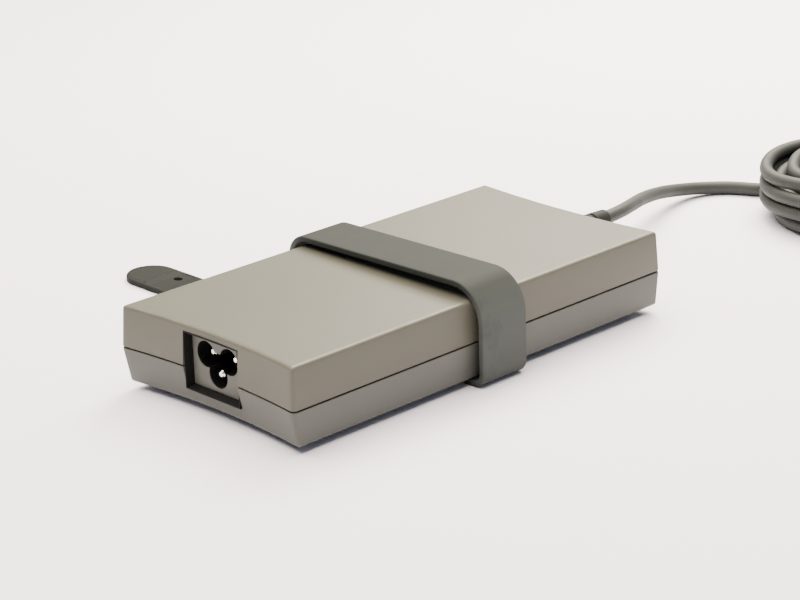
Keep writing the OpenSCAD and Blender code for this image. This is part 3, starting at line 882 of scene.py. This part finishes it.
class ADAPTER_OT_electronics(bpy.types.Operator):
    """Finish the electronics inside the casing"""

    bl_idname = "adapter.electronics"
    bl_label = "Electronics"

    def execute(self, context):
        for name, colour, accent, size, rough, more, nodes in COMPONENTS:
            dress(component(name, colour + (1,), accent + (1,), size * MM, rough, **more), *nodes)
        dress(wound("copper_winding", (0.62, 0.27, 0.09, 1), (0.12, 0.04, 0.015, 1), 1.0 * MM, "Z"),
              "filter_choke_winding", "pfc_choke_winding")
        dress(wound("winding_tape", (0.75, 0.55, 0.08, 1), (0.45, 0.3, 0.04, 1), 3.2 * MM, "X"),
              "transformer_winding")
        return {"FINISHED"}


class ADAPTER_OT_underside(bpy.types.Operator):
    """Make the rubber feet and the blank rating plate"""

    bl_idname = "adapter.underside"
    bl_label = "Underside"

    def execute(self, context):
        low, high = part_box("rubber_feet")
        r, soft = 4.5 * MM, 0.5 * MM
        profile = np.vstack([[(low.z, 0.3 * r)], round_shoulder(low.z, r, soft, -1), [(high.z, r)]])
        # the foot is turned about X, and then stood up so that its X runs up
        foot = turned(profile, 48)[:, :, [1, 2, 0]]
        skin = Skin()
        worn_and_lit = np.linspace(0.4, 0, len(profile))[:, None]
        for x in (low.x + r, high.x - r):
            for y in (low.y + r, high.y - r):
                skin.grid(foot + np.array([x, y, 0]), closed=True, wear=worn_and_lit)
        settle(skin.piece("foot_pads"), rubber("foot_rubber", (0.03, 0.03, 0.03), 0.75), "foot_rubber",
               stands_for=["rubber_feet"])

        low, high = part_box("rating_plate")
        half = np.array((high - low) / 2)[:2]
        middle = np.array(centre_of("rating_plate"))[:2]
        plan = rounded(middle, half, 2 * MM)
        inner = middle + (plan - middle) * (1 - 0.4 * MM / half)
        rows = loft([(inner, low.z), (plan, low.z + 0.05 * MM), (plan, high.z)])
        finish = brushed("blank_plate", (0.3, 0.3, 0.29, 1), (0.38, 0.38, 0.365, 1), (0.22, 0.22, 0.21, 1))
        settle(Skin().grid(rows, closed=True).piece("rating_plate_blank"), finish, "plate",
               stands_for=["rating_plate"])
        return {"FINISHED"}


class ADAPTER_OT_strap(bpy.types.Operator):
    """Make the rubber band, its button and its tail"""

    bl_idname = "adapter.strap"
    bl_label = "Strap"

    thick = 2 * MM
    near_top, far_top, low_r, far_drop = 12 * MM, 8 * MM, 4.5 * MM, 1.2 * MM
    # the tongue's tip and hole, and how far along Y its lean, ridge, ribs and dish lie
    tip_x, tip_r = -10.7 * MM, 8.3 * MM
    hole_at, hole_size = (-7.8 * MM, 97.8 * MM), (1.4 * MM, 1.7 * MM)
    lean, narrowing, tuck = (47 * MM, 92 * MM), 40 * MM, 3 * MM
    ridge, ribs, rib_pitch, dish = 102.8 * MM, (105.2 * MM, 114.2 * MM), 1.5 * MM, (92 * MM, 102 * MM)

    def loop(self, inset, y, top):
        """The band's outline in Y and Z, set in by inset: four arcs of their own radii."""
        out, near = y - inset, top - inset
        far = top - self.far_drop - inset
        rn, rf, rl = self.near_top - inset, self.far_top - inset, self.low_r - inset
        return np.vstack([
            arc((-out + rn, near - rn), rn, 180, 90, 16), arc((out - rf, far - rf), rf, 88, 0, 14),
            arc((out - rl, inset + rl), rl, 0, -90, 10), arc((-out + rl, inset + rl), rl, -90, -180, 10)])

    def band(self, settings):
        """A rounded slab carried along the loop's middle line. The drift slants it evenly along
        the casing from the near side to the far side."""
        low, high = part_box("strap_band")
        half_w = (high.x - low.x) / 2
        line = evenly(self.loop(self.thick / 2, high.y, high.z), 300)
        outward = outwards(line, 1)
        section = slab_section(5, 10)
        across, through = slab(np.full((len(line), 1), half_w), self.thick / 2, settings.edge, section)
        shift = (low.x + high.x) / 2 - settings.drift * line[:, :1] / high.y
        points = np.stack([
            shift + across,
            line[:, :1] + outward[:, :1] * through,
            line[:, 1:] + outward[:, 1:] * through], -1)
        # rubbed at its edges; both sides are painted paler, as painted light
        sides = ramp(np.abs(line[:, :1]) / high.y, 0.86, 0.96)
        return Skin().grid(points, loop=True, wear=np.maximum(0.35 * edge_wear(section), sides))

    def button(self):
        """A small mushroom that the tail's hole hooks over."""
        low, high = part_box("strap_stud")
        head, neck, head_t = (high.x - low.x) / 2, 1.4 * MM, 0.9 * MM
        profile = np.vstack([
            [(low.y + dy * MM, neck + dr * MM) for dy, dr in ((-0.3, 0.6), (0.15, 0.25), (0.5, 0))],
            [(high.y - head_t, neck)], round_shoulder(high.y - head_t, head, 0.3 * MM, -1),
            round_shoulder(high.y, head, 0.45 * MM, 1), [(high.y, 0.3 * head)]])
        points = turned(profile, 40)[:, :, [1, 0, 2]]
        return Skin().grid(points + np.array(centre_of("strap_stud")) * (1, 0, 1), closed=True)

    def tail(self, settings):
        """A tongue that leaves the band square, leans towards the inlet end as a smooth step and
        ends in a half circle, with a cross ridge and fine grip ribs near its tip."""
        band_low, band_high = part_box("strap_band")
        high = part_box("strap_tail")[1]
        tip_r, root = self.tip_r, band_high.y - 2.2 * MM
        centre_y = high.y - tip_r
        y = np.append(np.linspace(root, centre_y, 130, endpoint=False),
                      centre_y + tip_r * np.sin(np.radians(np.linspace(0, 87, 36))))
        start = (band_low.x + band_high.x) / 2 - settings.drift
        middle = start + eased(ramp(y, *self.lean)) * (self.tip_x - start)
        root_w = (band_high.x - band_low.x) / 2
        width = root_w + (tip_r - root_w) * ramp(y, root, root + self.narrowing)
        width = np.where(y > centre_y, np.sqrt(np.clip(tip_r**2 - (y - centre_y) ** 2, 0, None)), width)
        section = slab_section(5, 30)
        across, through = slab(width[:, None], self.thick / 2, settings.edge, section)
        inside = ramp(width[:, None] - np.abs(across), 0.9 * MM, 1.4 * MM) * (section[3] > 0.9)
        ridge = np.exp(-(((y - self.ridge) / (0.8 * MM)) ** 2)) * 0.5 * MM
        first, last = self.ribs
        ribs = (0.5 - 0.5 * np.cos((y - first) * 2 * np.pi / self.rib_pitch)) * 0.25 * MM
        ribs *= (y > first) & (y < last)
        first, last = self.dish
        dish = 0.3 * MM * ramp(y, first, first + 2 * MM) * ramp(y, last, last - MM)
        # the root tucks under the band's rounded lower edge
        tuck = ramp(y, root + self.tuck, root) * 0.35 * MM
        lift = (ridge + ribs - dish)[:, None] * inside - tuck[:, None] * (section[3] > 0)
        points = np.stack([
            middle[:, None] + across, np.broadcast_to(y[:, None], across.shape),
            self.thick / 2 + through + lift], -1)
        wear = 0.35 * edge_wear(section) * np.ones((len(y), 1))
        return Skin().grid(points, closed=True, wear=wear)

    def execute(self, context):
        settings = context.scene.adapter_strap
        finish = rubber("strap_rubber", tuple(settings.colour))
        settle(self.band(settings).piece("strap_loop"), finish, "strap_rubber", "strap", ["strap_band"])
        settle(self.button().piece("strap_button"), finish, "strap_rubber", "strap", ["strap_stud"])
        tongue = self.tail(settings).piece("strap_tongue")
        hole = circle((0, 0), 1.0, 40) * self.hole_size + self.hole_at
        rows = loft([(hole, -2 * MM), (hole, 5 * MM)])
        carve(tongue, [Skin().grid(rows, closed=True).piece("hole_cutter")])
        tongue.data.materials.clear()
        # painted shade: a copy of the strap's rubber at half its lightness, for the tail that lies flat and
        # looks darker
        tongue.data.materials.append(rubber("tongue_rubber", tint(settings.colour, -0.5), 0.6).material)
        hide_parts("strap_tail")
        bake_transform(tongue)
        return {"FINISHED"}


class ADAPTER_OT_lead(bpy.types.Operator):
    """Make the output lead with its coil, its gland and its tie"""

    bl_idname = "adapter.lead"
    bl_label = "Lead"

    # the lead from the casing to its coil, in millimetres
    route = (
        (77, 8, 14.4), (90, 8, 14.4), (104, 8, 14.4), (114, 10, 13.9), (124, 14, 12.7),
        (134, 18.8, 11), (144, 22.8, 9.2), (154, 26, 7.2), (162, 28, 5.4), (168, 28.6, 4.2),
        (172.8, 28.4, 3.4), (177.3, 27.1, 2.8), (181.4, 24.7, 2.5), (184.9, 21.4, 2.4),
        (187.4, 17.4, 2.4), (188.9, 14.4, 2.4), (191, 10.8, 2.4), (194.2, 7.6, 2.6),
        (198.2, 5.2, 2.9), (202, 3.8, 3.3))
    # and from the coil's second layer down to the plug
    end_route = (
        (222.7, -9.8, 8), (226.9, -16.7, 7.9), (230.1, -24.4, 7.2), (231.8, -33, 6),
        (231.2, -42.2, 4.6), (227.7, -51, 3.6), (221.8, -58.8, 3.6), (215.3, -64.4, 4.3),
        (209.1, -68.2, 5), (203.5, -70.7, 5.4))
    # places in the coil's section as (column inwards, layer up), in the order that they fill
    slots = ((0, 0), (1, 0), (2, 0), (2, 1), (1, 1), (1, 2), (2, 2), (2, 3), (1, 3), (0, 3), (0, 2), (0, 1))
    diameter, pitch = 4.6 * MM, 4.7 * MM
    start_turn, sweep, hold, shift = 79.4, 3285.0, 270.0, 90.0
    tie_turn, tie_t = -150.0, 0.9 * MM

    def coil(self):
        """The coil's middle line, clockwise from above. Each pass keeps to its place in the
        section, and moves to the next over a quarter turn as half a cosine wave, a quarter turn
        sooner each time, so that the place is free. Away from the tie it settles on the floor."""
        low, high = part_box("dc_cable_coil")
        middle = (low + high) / 2
        turn = np.arange(0, self.sweep + 1, 5.0)
        start = self.hold * np.arange(1, len(self.slots))[:, None] - self.shift / 2
        share = ramp(turn, start, start + self.shift)
        place = (0.5 - 0.5 * np.cos(np.pi * share)).sum(0)
        order = np.arange(len(self.slots))
        column, layer = (np.interp(place, order, axis) for axis in np.array(self.slots).T)
        radius = (high.x - low.x) / 2 - self.diameter / 2 - self.pitch * column
        angle = self.start_turn - turn
        held = np.zeros_like(turn)
        for stay, spread in ((self.tie_turn, 28.0), (57.0, 40.0)):
            away = np.abs((angle - stay + 180) % 360 - 180)
            held = np.maximum(held, 1 - eased(ramp(away, spread, spread + 40)))
        z = low.z + self.pitch * (layer + 0.5) - self.tie_t * (1 - held)
        a = np.radians(angle)
        return np.stack([middle.x + radius * np.cos(a), middle.y + radius * np.sin(a), z], 1)

    def relief(self):
        """The gland in the wall and its tapered strain relief: rings with grooves between them,
        an even taper, and a smooth collar at the end."""
        low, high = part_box("cable_gland")
        bore, flange = self.diameter / 2 + 0.03 * MM, 5.6 * MM
        wall_in, wall_out = low.x + 2.4 * MM, low.x + 5.5 * MM
        collar_end = wall_out + 2.25 * MM
        start, stop = collar_end + 0.8 * MM, high.x - 5.5 * MM
        rings, neck, collar, tip = 8, 4.2 * MM, 4.9 * MM, 3.1 * MM
        pitch = (stop - start) / rings

        def taper(x):
            """The cone's radius at a place."""
            return np.interp(x, (collar_end, high.x), (3.9 * MM, tip))

        ring = ((0.0, 0.0), (0.08, 0.45), (0.2, 0.6), (0.38, 0.6), (0.5, 0.45), (0.58, 0.0))
        profile = [(low.x, bore), (low.x, flange), (wall_in, flange), (wall_in, neck), (wall_out, neck),
                   *round_shoulder(wall_out, collar, 0.3 * MM, -1),
                   *round_shoulder(collar_end, collar, 0.6 * MM, 1), (collar_end, taper(collar_end)),
                   *grooves(start + pitch * np.arange(rings), pitch, ring, taper),
                   (stop + 0.5 * MM, taper(stop)), *round_shoulder(high.x, tip, 0.5 * MM, 1),
                   (high.x, bore)]
        points = turned(profile, 48) + np.array(centre_of("cable_gland")) * (0, 1, 1)
        return Skin().grid(points, loop=True)

    def tie(self):
        """A rounded strip carried round the coil's section as a closed loop."""
        low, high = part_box("dc_cable_coil")
        middle = (low + high) / 2
        half_w, outer = 4.5 * MM, (high.x - low.x) / 2
        inner = outer - 3 * self.pitch
        r_mid, z_mid = (outer + inner) / 2, (low.z + high.z) / 2
        half_r = (outer - inner) / 2 + 0.15 * MM + self.tie_t / 2
        half_z = (high.z - low.z) / 2 + 0.08 * MM + self.tie_t / 2
        line = evenly(rounded(np.array([r_mid, z_mid]), np.array([half_r, half_z]), 2.2 * MM), 120)
        outward = outwards(line, -1)
        section = slab_section(3, 6)
        across, through = slab(np.full((len(line), 1), half_w), self.tie_t / 2, 0.3 * MM, section)
        points = np.stack([line[:, :1] + outward[:, :1] * through, across + 0 * line[:, :1],
                           line[:, 1:] + outward[:, 1:] * through], -1)
        return Skin().grid(set_down(points, (middle.x, middle.y, 0), self.tie_turn), loop=True)

    def execute(self, context):
        settings = context.scene.adapter_lead
        colour = tuple(settings.colour)
        route, end = np.array(self.route) * MM, np.array(self.end_route) * MM
        line = smooth_line(np.vstack([route[:-1], self.coil(), end[1:]]), 1.9 * MM)
        rings = tube(line, self.diameter / 2, settings.sides)
        lead = Skin().grid(rings, closed=True).piece("output_lead", 60)
        settle(lead, jacket("lead_jacket", colour), "lead_rubber",
               stands_for=["dc_cable", "dc_cable_coil", "dc_cable_end"])
        relief = settle(
            self.relief().piece("lead_relief"), rubber("relief_rubber", tint(colour, -0.35), 0.55),
            "lead_rubber", stands_for=["cable_gland"])
        tie = settle(self.tie().piece("coil_tie"), woven("tie_weave", tuple(settings.tie_colour)), "tie",
                     stands_for=["cable_tie"])
        bpy.ops.adapter.plug()
        plug = [bpy.data.objects[name] for name in ("plug_boot", "plug_grip", "plug_sleeve")]
        plug += [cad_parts[name] for name in ("plug_insulator", "plug_centre_pin")]
        return {"FINISHED"}


class ADAPTER_OT_plug(bpy.types.Operator):
    """Make the barrel plug at the lead's far end"""

    bl_idname = "adapter.plug"
    bl_label = "Plug"

    at, turn = (203.5 * MM, -70.7 * MM, 5.4 * MM), 204.0
    boot_l, grip_l, grip_r, barrel_l = 20 * MM, 28 * MM, 5.2 * MM, 10 * MM
    seat, barrel_r, bore_r = 6 * MM, 3.7 * MM, 2.9 * MM

    def lathe(self, profile, sides, **ends):
        """A profile turned about the plug's axis and set in the plug's place."""
        return Skin().grid(set_down(turned(profile, sides), self.at, self.turn), **ends)

    def boot(self):
        """Tapered bend relief with a sleeve over the lead's end and shallow rings."""
        sleeve, lead_r = 1.2 * MM, 2.33 * MM
        rings, core, rim = 5, 0.5 * MM, 2.85 * MM
        pitch = (self.boot_l - 3 * MM) / rings

        def taper(x):
            """The cone's radius at a place."""
            return np.interp(x, (-sleeve, self.boot_l), (rim, 4.0 * MM))

        ring = ((0.0, 0.0), (0.1, 0.4), (0.25, 0.5), (0.4, 0.4), (0.5, 0.0))
        profile = [(0, core), (0, lead_r), (-sleeve, lead_r), (-sleeve, 2.6 * MM), (0.25 * MM - sleeve, rim),
                   *grooves(2 * MM + pitch * np.arange(rings), pitch, ring, taper),
                   (self.boot_l, taper(self.boot_l)), (self.boot_l, core)]
        return self.lathe(profile, 44, closed=True)

    def grip(self):
        """Overmoulded handle: rounded at both ends, with five finger grooves and a seat for the
        barrel."""
        x0, x1 = self.boot_l, self.boot_l + self.grip_l
        core, bevel, seat_r = 0.5 * MM, 0.1 * MM, self.barrel_r - 0.18 * MM
        groove = ((-0.1, 0.0), (0.1, 0.3), (0.35, 0.5), (0.85, 0.5), (1.1, 0.3), (1.3, 0.0))
        starts = x0 + (5 + 3 * np.arange(5)) * MM
        profile = [(x0, core), *round_shoulder(x0, self.grip_r, 1.4 * MM, -1, 8),
                   *grooves(starts, MM, groove, lambda x: self.grip_r),
                   *round_shoulder(x1, self.grip_r, 1.0 * MM, 1, 8), (x1, seat_r + bevel),
                   (x1 - bevel, seat_r), (x1 - self.seat, seat_r), (x1 - self.seat, core)]
        return self.lathe(profile, 56, closed=True)

    def barrel(self):
        """Plated sleeve: a thinner seat, a shoulder, and a rounded mouth."""
        end = self.boot_l + self.grip_l
        x0, shoulder, mouth = end - self.seat, end + 0.5 * MM, end + self.barrel_l
        seat_r, bevel = self.barrel_r - 0.2 * MM, 0.15 * MM
        profile = [(x0, self.bore_r), (x0, seat_r), (shoulder, seat_r),
                   *round_shoulder(shoulder, self.barrel_r, 0.1 * MM, -1, 3),
                   *round_shoulder(mouth, self.barrel_r, 0.35 * MM, 1),
                   (mouth, self.bore_r + bevel), (mouth - bevel, self.bore_r)]
        return self.lathe(profile, 56, loop=True)

    def execute(self, context):
        colour = tuple(context.scene.adapter_lead.plug_colour)
        grip = rubber("plug_rubber", colour, 0.5, bloom=0.1)
        metal = plated("barrel_plating", (0.8, 0.79, 0.75), 0.2)
        settle(self.boot().piece("plug_boot"), grip, "plug_black", stands_for=["plug_relief"])
        settle(self.grip().piece("plug_grip"), grip, "plug_black", stands_for=["plug_body"])
        settle(self.barrel().piece("plug_sleeve"), metal, "plug_metal", stands_for=["plug_barrel"])
        dress(moulded("insulator_black", (0.015, 0.015, 0.015), 0.4, 0.4 * MM, 0.006 * MM),
              "plug_insulator")
        dress(plated("pin_plating", (0.85, 0.66, 0.3), 0.25), "plug_centre_pin")
        return {"FINISHED"}


class ADAPTER_PT_panel(bpy.types.Panel):
    """Lists the adapter's settings and its operators"""

    bl_label = "Power Adapter"
    bl_space_type = "VIEW_3D"
    bl_region_type = "UI"
    bl_category = "Adapter"

    def draw(self, context):
        scene = context.scene
        for group in (scene.adapter_casing, scene.adapter_strap, scene.adapter_lead, scene.adapter_stage):
            box = self.layout.box()
            for name in group.bl_rna.properties.keys():
                if name not in ("rna_type", "name"):
                    box.prop(group, name)
        for operator in OPERATORS:
            self.layout.operator(operator.bl_idname)


GROUPS = {
    "adapter_casing": CasingSettings, "adapter_strap": StrapSettings,
    "adapter_lead": LeadSettings, "adapter_stage": StageSettings}
OPERATORS = (
    ADAPTER_OT_stage, ADAPTER_OT_lead, ADAPTER_OT_plug, ADAPTER_OT_casing, ADAPTER_OT_inlet,
    ADAPTER_OT_strap, ADAPTER_OT_underside, ADAPTER_OT_electronics)


def register():
    for name, group in GROUPS.items():
        bpy.utils.register_class(group)
        setattr(bpy.types.Scene, name, bpy.props.PointerProperty(type=group))
    for cls in OPERATORS + (ADAPTER_PT_panel,):
        bpy.utils.register_class(cls)


def unregister():
    for cls in reversed(OPERATORS + (ADAPTER_PT_panel,)):
        bpy.utils.unregister_class(cls)
    for name, group in GROUPS.items():
        delattr(bpy.types.Scene, name)
        bpy.utils.unregister_class(group)


def main():
    register()
    bpy.ops.adapter.stage()
    bpy.ops.adapter.lead()
    bpy.ops.adapter.casing()
    bpy.ops.adapter.inlet()
    bpy.ops.adapter.strap()
    bpy.ops.adapter.underside()
    bpy.ops.adapter.electronics()


if __name__ == "__main__":
    main()
